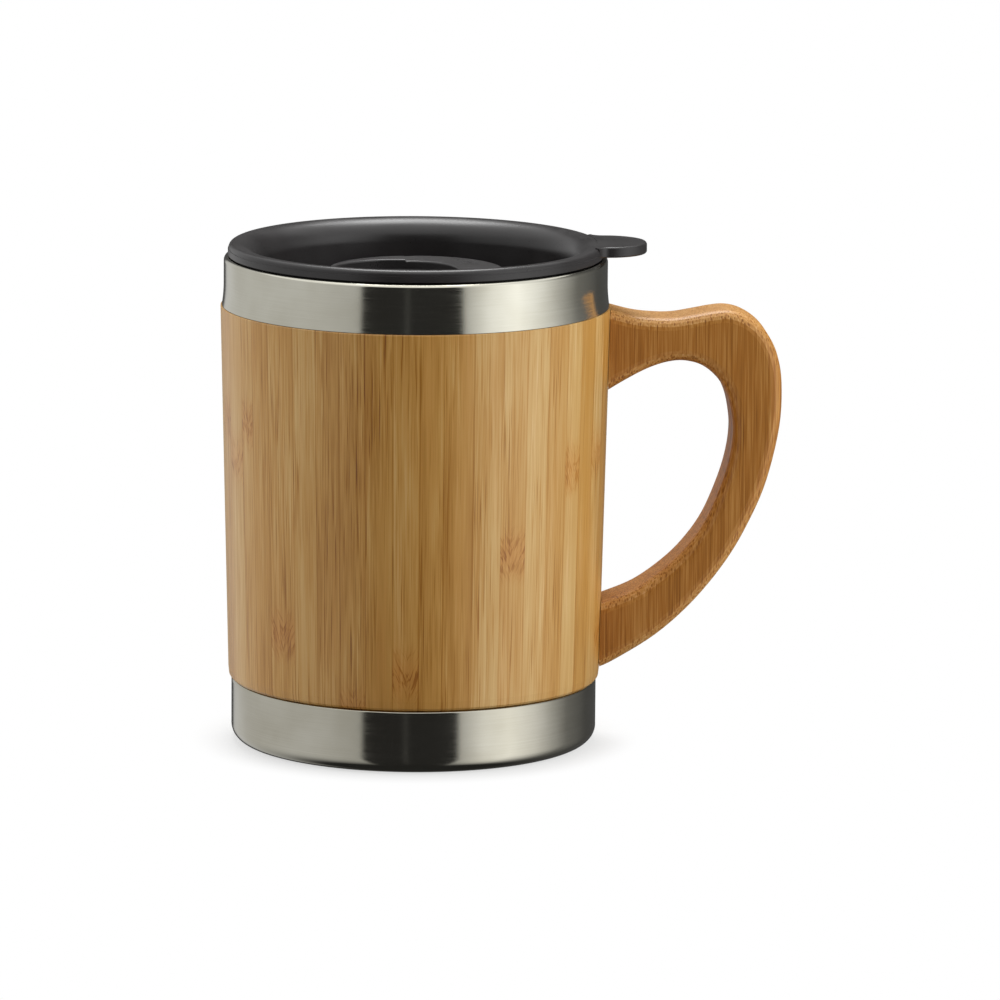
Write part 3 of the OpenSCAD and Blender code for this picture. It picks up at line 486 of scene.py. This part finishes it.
def handle_finish():
    """Solid bamboo, sawn, routed and sanded: upright fibres, and their ends as a stipple above and below."""
    finish, tree = new_finish("carved_bamboo_block")
    place = add_node(tree, "ShaderNodeTexCoord")
    # fibre bundles 0.5 mm apart that run straight up through the block: lines on a side, dots on an end
    bundle_at = add_node(tree, "ShaderNodeMapping", values={"Scale": (2000, 2000, 36)},
                         links={"Vector": place.outputs["Object"]})
    bundle = add_node(tree, "ShaderNodeTexVoronoi", values={"Scale": 1.0, "Randomness": 1.0},
                      links={"Vector": bundle_at.outputs[0]})
    dots = add_node(tree, "ShaderNodeMapRange", {"interpolation_type": "SMOOTHSTEP"},
                    {"From Min": 0.15, "From Max": 0.5, "To Min": -0.3, "To Max": 0.05},
                    {0: bundle.outputs["Distance"]})
    fine_at = add_node(tree, "ShaderNodeMapping", values={"Scale": (3000, 3000, 64)},
                       links={"Vector": place.outputs["Object"]})
    fine = add_node(tree, "ShaderNodeTexNoise", values={"Scale": 1.0, "Detail": 2.0},
                    links={"Vector": fine_at.outputs[0]})
    # darker streaks 1.5 mm wide, and layers of a few millimetres that the block is glued from
    streak_at = add_node(tree, "ShaderNodeMapping", values={"Scale": (650, 650, 24)},
                         links={"Vector": place.outputs["Object"]})
    streak = add_node(tree, "ShaderNodeTexNoise", values={"Scale": 1.0, "Detail": 3.0},
                      links={"Vector": streak_at.outputs[0]})
    layer_at = add_node(tree, "ShaderNodeMapping", values={"Scale": (170, 170, 6)},
                        links={"Vector": place.outputs["Object"]})
    layer = add_node(tree, "ShaderNodeTexNoise", values={"Scale": 1.0, "Detail": 1.0},
                     links={"Vector": layer_at.outputs[0]})
    facing = add_node(tree, "ShaderNodeSeparateXYZ", links={0: place.outputs["Normal"]})
    up = add_node(tree, "ShaderNodeMath", {"operation": "ABSOLUTE"}, links={0: facing.outputs["Z"]})
    # one depth of colour again, paler on the ends of the fibres: partly their own paler end grain, partly
    # painted light for the lit top faces
    depth = add_node(tree, "ShaderNodeMapRange", {"interpolation_type": "SMOOTHSTEP"},
                     {"From Min": 0.0, "From Max": 0.6, "To Min": 0.47, "To Max": 0.6},
                     {0: up.outputs[0]})
    for marks, weight in ((fine, 0.62), (streak, 0.24), (layer, 0.16)):
        middle = add_node(tree, "ShaderNodeMath", {"operation": "SUBTRACT"}, {1: 0.5},
                          {0: marks.outputs["Fac"]})
        depth = add_node(tree, "ShaderNodeMath", {"operation": "MULTIPLY_ADD"}, {1: weight},
                         {0: middle.outputs[0], 2: depth.outputs[0]})
    # painted shade: the inside of the loop, facing the sleeve, is painted darker
    loop_middle = (56 * MM, 0, 55 * MM)
    inwards = add_node(tree, "ShaderNodeVectorMath", {"operation": "SUBTRACT"}, {0: loop_middle},
                       {1: place.outputs["Object"]})
    inwards = add_node(tree, "ShaderNodeVectorMath", {"operation": "NORMALIZE"},
                       links={0: inwards.outputs[0]})
    inside = add_node(tree, "ShaderNodeVectorMath", {"operation": "DOT_PRODUCT"},
                      links={0: inwards.outputs[0], 1: place.outputs["Normal"]})
    painted_shade_inside = add_node(tree, "ShaderNodeMapRange", {"interpolation_type": "SMOOTHSTEP"},
                      {"From Min": 0.1, "From Max": 0.8, "To Max": -0.12}, {0: inside.outputs["Value"]})
    depth = add_node(tree, "ShaderNodeMath", {"operation": "ADD"},
                     links={0: depth.outputs[0], 1: painted_shade_inside.outputs[0]})
    # the bundles are dark dots on an end, and only faint lines on a side
    strength = add_node(tree, "ShaderNodeMapRange", values={"From Max": 0.4, "To Min": 0.3, "To Max": 1.0},
                        links={0: up.outputs[0]})
    depth = add_node(tree, "ShaderNodeMath", {"operation": "MULTIPLY_ADD"},
                     links={0: dots.outputs[0], 1: strength.outputs[0], 2: depth.outputs[0]})
    wood = add_node(tree, "ShaderNodeValToRGB", links={0: depth.outputs[0]})
    set_stops(wood, [(0.0, paint("5c3a02")), (0.25, paint("8c550b")), (0.45, paint("ac6e20")),
                     (0.65, paint("c89148")), (1.0, paint("e6c48f"))])
    bump = add_node(tree, "ShaderNodeBump", values={"Strength": 0.3, "Distance": 0.1 * MM},
                    links={"Height": depth.outputs[0]})
    # oiled more thinly than the sleeve, and rougher on the open ends of the bundles than on their sides
    dull = add_node(tree, "ShaderNodeMapRange", values={"From Max": 0.5, "To Min": 0.42, "To Max": 0.53},
                    links={0: up.outputs[0]})
    shade = add_node(tree, "ShaderNodeBsdfPrincipled",
                     values={"IOR": 1.5, "Coat Weight": 0.25, "Coat Roughness": 0.36},
                     links={"Base Color": wood.outputs[0], "Roughness": dull.outputs[0],
                            "Normal": bump.outputs[0]})
    add_node(tree, "ShaderNodeOutputMaterial", links={"Surface": shade.outputs[0]})
    return finish


steel = steel_finish("brushed_stainless_steel", "c2bfb0", "d0cec1")
# painted shade: the foot's steel is painted darker than the band's, for the dimmer reflections low on the cup
foot_steel_painted_darker = steel_finish("brushed_stainless_steel_painted_darker", "b5b1a2", "c3c0b3")
black_plastic = plastic_finish()
silicone = silicone_finish()
sleeve_bamboo = sleeve_finish()
handle_bamboo = handle_finish()

for name, finish in {
    "bamboo_sleeve": sleeve_bamboo, "handle": handle_bamboo, "inner_cup": steel, "outer_shell": steel,
    "shell_bottom": steel, "steel_foot": steel, "handle_screws": steel, "lid_body": black_plastic,
    "lid_gasket": silicone, "closure_dial": black_plastic, "closure_shutter": black_plastic,
    "shutter_seal": silicone, "stem_o_ring": silicone, "shutter_screw": steel, "shutter_washer": steel,
}.items():
    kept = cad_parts[name].data
    kept.materials.clear()
    kept.materials.append(finish)


# Shaping helpers

ROUND_STEPS = 192
# how near to a ring or a line, in mm, still counts as on it
NEAR = 0.02
# how far, in mm, a cutting tool stands out of what it cuts
PAST = 1


def pick_ring(piece, radius, height):
    """In edit mode, picks the edges of a turned piece that lie on one ring, given in mm."""
    bpy.ops.mesh.select_all(action="DESELECT")
    shape = bmesh.from_edit_mesh(piece.data)
    on_ring = {point for point in shape.verts if abs(point.co.xy.length / MM - radius) < NEAR
               and abs(point.co.z / MM - height) < NEAR}
    for edge in shape.edges:
        if edge.verts[0] in on_ring and edge.verts[1] in on_ring:
            edge.select_set(True)
    bmesh.update_edit_mesh(piece.data)


def turn_piece(name, outline, roundings, solid=False):
    """A ring pulled up, out and in from corner to corner of an outline of (radius, height) in mm.

    A solid piece starts and ends in a disc. The corners that are listed are then rounded by so many mm."""
    bpy.ops.object.select_all(action="DESELECT")
    radius, height = outline[0]
    bpy.ops.mesh.primitive_circle_add(vertices=ROUND_STEPS, radius=radius * MM, location=(0, 0, height * MM),
                                      fill_type="TRIFAN" if solid else "NOTHING")
    piece = bpy.context.object
    piece.name = name
    bpy.ops.object.transform_apply(location=True, rotation=True, scale=True)
    bpy.ops.object.mode_set(mode="EDIT")
    bpy.ops.mesh.select_mode(type="EDGE")
    pick_ring(piece, radius, height)
    for next_radius, next_height in outline[1:] + ([] if solid else outline[:1]):
        bpy.ops.mesh.extrude_region_move(
            TRANSFORM_OT_translate={"value": (0, 0, (next_height - height) * MM)})
        share = next_radius / radius
        bpy.ops.transform.resize(value=(share, share, 1), center_override=(0, 0, 0))
        radius, height = next_radius, next_height
    if solid:
        bpy.ops.mesh.edge_face_add()
        bpy.ops.mesh.poke()
    bpy.ops.mesh.select_all(action="SELECT")
    bpy.ops.mesh.remove_doubles(threshold=0.01 * MM)
    for radius, height, by, steps in roundings:
        pick_ring(piece, radius, height)
        bpy.ops.mesh.bevel(offset=by * MM, segments=steps, affect="EDGES", clamp_overlap=False)
    bpy.ops.mesh.select_all(action="SELECT")
    bpy.ops.mesh.normals_make_consistent(inside=False)
    bpy.ops.object.mode_set(mode="OBJECT")
    return piece


def finish_piece(piece, node, body, finish):
    """Smooth shading, the finish, and the body that the piece moves with."""
    bpy.ops.object.select_all(action="DESELECT")
    piece.select_set(True)
    bpy.context.view_layer.objects.active = piece
    bpy.ops.object.shade_smooth_by_angle(angle=math.radians(32))
    # flat faces stay flat beside the roundings
    even = piece.modifiers.new("even_shading", "WEIGHTED_NORMAL")
    even.keep_sharp = True
    bpy.ops.object.modifier_apply(modifier=even.name)
    piece.data.materials.clear()
    piece.data.materials.append(finish)
    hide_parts(node)
    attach(piece, body)


def add_tube(radius, low, high):
    """An upright cylinder between two heights in mm, as a cutting tool or a block to be cut."""
    bpy.ops.object.select_all(action="DESELECT")
    bpy.ops.mesh.primitive_cylinder_add(vertices=ROUND_STEPS, radius=radius * MM, depth=(high - low) * MM,
                                        location=(0, 0, (high + low) / 2 * MM))
    bpy.ops.object.transform_apply(location=True, rotation=True, scale=True)
    return bpy.context.object


def add_block(middle, size):
    """A square block round a middle, in mm, as a cutting tool or a part to be joined on."""
    bpy.ops.object.select_all(action="DESELECT")
    bpy.ops.mesh.primitive_cube_add(size=MM, location=Vector(middle) * MM, scale=size)
    bpy.ops.object.transform_apply(location=True, rotation=True, scale=True)
    return bpy.context.object


def combine(piece, other, how):
    """Joins another solid to a piece, or cuts it out, and clears the other away."""
    bpy.ops.object.select_all(action="DESELECT")
    bpy.context.view_layer.objects.active = piece
    piece.select_set(True)
    step = piece.modifiers.new(how.lower(), "BOOLEAN")
    step.operation, step.solver, step.object = how, "EXACT", other
    bpy.ops.object.modifier_apply(modifier=step.name)
    bpy.data.objects.remove(other)


def pick_edges(piece, wanted):
    """In edit mode, picks the edges whose middle and direction, in mm, the test wants."""
    bpy.ops.mesh.select_all(action="DESELECT")
    shape = bmesh.from_edit_mesh(piece.data)
    for edge in shape.edges:
        start, end = edge.verts[0].co / MM, edge.verts[1].co / MM
        if wanted((start + end) / 2, (end - start).normalized()):
            edge.select_set(True)
    bmesh.update_edit_mesh(piece.data)


# Steel

def turn_outer_shell():
    """The outer steel shell: a tube behind the sleeve, a flared band over it, and a rolled rim on top."""
    low, high = (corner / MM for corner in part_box("outer_shell"))
    sleeve_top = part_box("bamboo_sleeve")[1].z / MM
    sheet, rim_r, mouth_w = 0.6, 1.0, 2.3
    flare_w, flare_h, flare_steps = 0.4, 5.0, 10
    step_in, taper, gap = 2.8, 2.17, 0.1
    flare_r = high.x
    band_r = flare_r - flare_w
    band_in_r = band_r - sheet
    neck_r = band_r - step_in
    foot_r = neck_r - taper
    mouth_r = band_r - mouth_w
    lip_r = mouth_r + sheet
    rim_foot, rim_under = high.z - 2 * rim_r, high.z - sheet
    shelf = sleeve_top + gap
    # the flare runs out into the straight band in a smooth curve
    flare = [(band_r + (flare_r - band_r) * (1 - step / flare_steps) ** 2,
              shelf + flare_h * step / flare_steps) for step in range(flare_steps + 1)]
    outline = [(foot_r, low.z), (neck_r, shelf)] + flare + [
        (band_r, high.z), (mouth_r, high.z), (mouth_r, rim_foot), (lip_r, rim_foot), (lip_r, rim_under),
        (band_in_r, rim_under), (band_in_r, shelf + flare_h), (flare_r - sheet, shelf + sheet),
        (neck_r - sheet, shelf + sheet), (foot_r - sheet, low.z)]
    roundings = [(band_r, high.z, rim_r, 10), (mouth_r, high.z, rim_r, 10),
                 (lip_r, rim_under, rim_r - sheet, 3), (band_in_r, rim_under, rim_r - sheet, 3)]
    return turn_piece("outer_shell_turned", outline, roundings)


def turn_foot():
    """The steel foot: a deep-drawn cup with a round corner and a stiffening bead pressed into its bottom."""
    low, high = (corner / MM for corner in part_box("steel_foot"))
    sheet, corner_r, top_r, lip_w = 0.7, 3.4, 0.9, 2.75
    ring_w, bead_w, bead_h, bead_r = 3.5, 7.0, 1.7, 0.6
    foot_r, top = high.x, high.z
    foot_in_r = foot_r - sheet
    mouth_r = foot_r - lip_w
    bead_out = foot_r - corner_r - ring_w
    bead_in = bead_out - bead_w
    bead = [(bead_in, low.z), (bead_in + bead_h, bead_h), (bead_out - bead_h, bead_h), (bead_out, low.z)]
    outline = bead + [
        (foot_r, low.z), (foot_r, top), (mouth_r, top), (mouth_r, top - sheet), (foot_in_r, top - sheet),
        (foot_in_r, sheet), (bead_out - sheet / 2, sheet), (bead_out - bead_h - sheet / 2, bead_h + sheet),
        (bead_in + bead_h + sheet / 2, bead_h + sheet), (bead_in + sheet / 2, sheet)]
    roundings = [(foot_r, low.z, corner_r, 12), (foot_r, top, top_r, 6),
                 (foot_in_r, sheet, corner_r - sheet, 8)]
    roundings += [(radius, height, bead_r, 4) for radius, height in bead]
    return turn_piece("steel_foot_pressed", outline, roundings, solid=True)


# Lid

def draw_plate(outline, low, top):
    """A flat plate between two heights in mm: an outline of (x, y) drawn corner by corner and pulled up."""
    bpy.ops.object.select_all(action="DESELECT")
    x, y = outline[0]
    bpy.ops.mesh.primitive_plane_add(size=MM, location=(x * MM, y * MM, low * MM))
    plate = bpy.context.object
    bpy.ops.object.transform_apply(location=True, rotation=True, scale=True)
    bpy.ops.object.mode_set(mode="EDIT")
    bpy.ops.mesh.select_mode(type="VERT")
    bpy.ops.mesh.merge(type="CENTER")
    for next_x, next_y in outline[1:] + outline[:1]:
        bpy.ops.mesh.extrude_region_move(
            TRANSFORM_OT_translate={"value": ((next_x - x) * MM, (next_y - y) * MM, 0)})
        x, y = next_x, next_y
    bpy.ops.mesh.select_all(action="SELECT")
    bpy.ops.mesh.remove_doubles(threshold=0.002 * MM)
    bpy.ops.mesh.edge_face_add()
    bpy.ops.mesh.extrude_region_move(TRANSFORM_OT_translate={"value": (0, 0, (top - low) * MM)})
    bpy.ops.mesh.select_all(action="SELECT")
    bpy.ops.mesh.normals_make_consistent(inside=False)
    bpy.ops.object.mode_set(mode="OBJECT")
    return plate


def arc(x, y, radius, start, end, steps):
    """Points on an arc round (x, y), between two compass angles in degrees."""
    turns = [math.radians(start + (end - start) * step / steps) for step in range(steps + 1)]
    return [(x + radius * math.cos(turn), y + radius * math.sin(turn)) for turn in turns]


def thumb_tab(edge_r, land_r, tip_r, half_w, low, top):
    """The thumb tab: a flat plate with a round end, swept into the lid's edge by two hollow corners."""
    tip_flat, root_r, lip_r = 0.5, 2.5, 0.5
    corner_r = half_w - tip_flat
    root_y = half_w + root_r
    root_x = math.sqrt((edge_r + root_r) ** 2 - root_y ** 2)
    root_turn = math.degrees(math.atan2(root_y, root_x))
    # the plate is a degree narrower where it lies in the lid
    land_turn = root_turn - 1.0
    far_side = arc(root_x, root_y, root_r, root_turn + 180, 270, 8)
    far_side += arc(tip_r - corner_r, half_w - corner_r, corner_r, 90, 0, 20)
    near_side = [(x, -y) for x, y in reversed(far_side)]
    land = arc(0, 0, land_r, -land_turn, land_turn, 20)
    tab = draw_plate(far_side + near_side + land, low, top)
    bpy.ops.object.mode_set(mode="EDIT")
    bpy.ops.mesh.select_mode(type="EDGE")
    # the level edges outside the lid are rounded, above and below
    for height in (low, top):
        pick_edges(tab, lambda middle, way: abs(middle.z - height) < NEAR and abs(way.z) < 0.01
                   and middle.xy.length > edge_r - 5 * NEAR)
        bpy.ops.mesh.bevel(offset=lip_r * MM, segments=4, affect="EDGES", clamp_overlap=False)
    bpy.ops.object.mode_set(mode="OBJECT")
    return tab


def mould_lid():
    """The lid: a rounded edge, a bell-shaped basin with a bearing boss, a plug with a groove, and a tab."""
    low, high = (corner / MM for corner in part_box("lid_body"))
    edge_r, tip_r = high.y, high.x
    tab_half_w, tab_h, tab_proud, tab_overlap = 9.3, 2.4, 0.2, 0.05
    edge_h, edge_round, land, step_h, step_w = 2.6, 1.1, 0.25, 1.4, 0.15
    wall, draft, skirt_r, skirt_h, plug_r = 1.8, 0.6, 39.9, 4.0, 36.72
    keeper_r, keeper_h, keeper_drop = 38.5, 1.0, 7.8
    bore, boss_r, boss_h = 4.06, 6.5, 2.4
    hole_in, hole_l, hole_w, vent_r = 6.8, 13.0, 6.4, 1.2
    top = high.z - tab_proud
    seat = top - edge_h
    step_z = seat + step_h
    skirt_z, skirt_in_r, under = seat - skirt_h, skirt_r - wall, seat - wall / 2
    keeper_z, keeper_top = seat - keeper_drop, seat - keeper_drop + keeper_h
    neck_r = edge_r - step_w
    basin_r, floor_z = plug_r - wall, low.z + wall
    basin_foot_r, boss_top = basin_r - draft, floor_z + boss_h
    bell = neck_r - edge_round - land - basin_r
    outline = [(bore, low.z), (plug_r - draft, low.z), (plug_r, keeper_z), (keeper_r, keeper_z),
               (keeper_r, keeper_top), (plug_r, keeper_top), (plug_r, under), (skirt_in_r, under),
               (skirt_in_r, skirt_z), (skirt_r, skirt_z), (skirt_r, seat), (edge_r, seat), (edge_r, step_z),
               (neck_r, step_z), (neck_r, top), (basin_r, top), (basin_foot_r, floor_z), (boss_r, floor_z),
               (boss_r, boss_top), (bore, boss_top)]
    roundings = [(neck_r, top, edge_round, 10), (basin_r, top, bell, 16), (basin_foot_r, floor_z, 1.6, 6),
                 (edge_r, seat, 0.15, 2), (edge_r, step_z, 0.1, 2), (plug_r - draft, low.z, 0.5, 4),
                 (keeper_r, keeper_z, 0.2, 2), (skirt_r, skirt_z, 0.3, 3), (boss_r, boss_top, 0.4, 4),
                 (boss_r, floor_z, 0.4, 3)]
    lid = turn_piece("lid_moulded", outline, roundings)
    land_r = neck_r - edge_round - land / 2
    tab = thumb_tab(neck_r - tab_overlap, land_r, tip_r, tab_half_w, high.z - tab_h, high.z)
    combine(lid, tab, "UNION")
    # the sip hole is across the basin from the tab, and the vent is beside the tab
    hole_at = basin_foot_r - hole_in
    for side in (-1, 1):
        hole = add_tube(hole_w / 2, low.z - PAST, floor_z + PAST)
        bpy.ops.transform.translate(value=(-hole_at * MM, side * (hole_l - hole_w) / 2 * MM, 0))
        bpy.ops.object.transform_apply(location=True, rotation=True, scale=True)
        combine(lid, hole, "DIFFERENCE")
    slot = add_block((-hole_at, 0, low.z + wall / 2), (hole_w, hole_l - hole_w, wall + 2 * PAST))
    combine(lid, slot, "DIFFERENCE")
    vent = add_tube(vent_r, low.z - PAST, floor_z + PAST)
    bpy.ops.transform.translate(value=(hole_at * MM, 0, 0))
    bpy.ops.object.transform_apply(location=True, rotation=True, scale=True)
    combine(lid, vent, "DIFFERENCE")
    return lid


def mould_dial():
    """The closure dial: a hollow button with an off-centre finger dish, on a stem with an O-ring groove."""
    low, high = (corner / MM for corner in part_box("closure_dial"))
    lid_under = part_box("lid_body")[0].z / MM
    dial_r, top = high.y, high.z
    stem_r, drive_w, screw_r, screw_l, foot_up = 4.0, 5.4, 1.6, 6.6, 4.9
    groove_r, groove_h, groove_up = 2.6, 1.4, 4.6
    wall, dish_depth, dish_off, dish_rim, dish_round, edge_round = 1.6, 2.6, 4.3, 1.5, 0.6, 0.45
    foot_z = low.z + foot_up
    groove_low, groove_top = low.z + groove_up - groove_h / 2, low.z + groove_up + groove_h / 2
    dish_r = dial_r - dish_off - dish_rim
    ceiling = top - dish_depth - wall
    outline = [(stem_r, lid_under), (stem_r, groove_low), (groove_r, groove_low), (groove_r, groove_top),
               (stem_r, groove_top), (stem_r, ceiling), (dial_r - wall, ceiling), (dial_r - wall, foot_z),
               (dial_r, foot_z), (dial_r, top)]
    dial = turn_piece("dial_moulded", outline, [(dial_r, top, 0.7, 8), (dial_r, foot_z, 0.3, 3)], solid=True)
    # the square end that drives the shutter reaches into the round stem
    drive_top = lid_under + PAST
    drive = add_block((0, 0, (low.z + drive_top) / 2), (drive_w, drive_w, drive_top - low.z))
    combine(dial, drive, "UNION")
    combine(dial, add_tube(screw_r, low.z - PAST, low.z + screw_l), "DIFFERENCE")

    dish = add_tube(dish_r, top - dish_depth, top + PAST)
    bpy.ops.object.mode_set(mode="EDIT")
    bpy.ops.mesh.select_mode(type="EDGE")
    pick_ring(dish, dish_r, top - dish_depth)
    bpy.ops.mesh.bevel(offset=dish_round * MM, segments=6, affect="EDGES")
    bpy.ops.object.mode_set(mode="OBJECT")
    bpy.ops.transform.translate(value=(-dish_off * MM, 0, 0))
    bpy.ops.object.transform_apply(location=True, rotation=True, scale=True)
    combine(dial, dish, "DIFFERENCE")

    # a shallow wedge is taken off the top beside the dish, as a mark to turn the dial by
    mark_x, mark_w, mark_h, mark_depth, mark_turn, mark_end = 4.62, 7.0, 2, 0.4, math.radians(31), -1.6
    mark = add_block((mark_x + mark_w / 2, 0, top - mark_depth + mark_h / 2),
                     (mark_w, 2 * dial_r + 2 * PAST, mark_h))
    bpy.ops.object.mode_set(mode="EDIT")
    pick_edges(mark, lambda middle, way: middle.x > mark_x + mark_w - NEAR and middle.z < top)
    bpy.ops.transform.translate(value=(0, 0, mark_depth * MM))
    bpy.ops.object.mode_set(mode="OBJECT")
    # without a window this operator turns the other way
    bpy.ops.transform.rotate(value=-mark_turn, orient_axis="Z", center_override=(0, 0, 0))
    bpy.ops.object.transform_apply(location=True, rotation=True, scale=True)
    combine(mark, add_block((mark_end - dial_r, 0, top), (2 * dial_r, 3 * dial_r, 3 * mark_h)), "DIFFERENCE")
    combine(dial, mark, "DIFFERENCE")

    # the upper edge of the dish is softened
    bpy.ops.object.mode_set(mode="EDIT")
    pick_edges(dial, lambda middle, way: middle.z > top - mark_depth - NEAR and abs(way.z) < 0.5
               and abs(math.hypot(middle.x + dish_off, middle.y) - dish_r) < NEAR)
    bpy.ops.mesh.bevel(offset=edge_round * MM, segments=6, affect="EDGES", clamp_overlap=False)
    bpy.ops.object.mode_set(mode="OBJECT")
    return dial


finish_piece(turn_outer_shell(), "outer_shell", "cup", steel)
# the foot takes the steel painted darker, as painted shade
finish_piece(turn_foot(), "steel_foot", "cup", foot_steel_painted_darker)
finish_piece(mould_lid(), "lid_body", "lid", black_plastic)
finish_piece(mould_dial(), "closure_dial", "closure", black_plastic)

bpy.context.scene.view_settings.view_transform = "Standard"
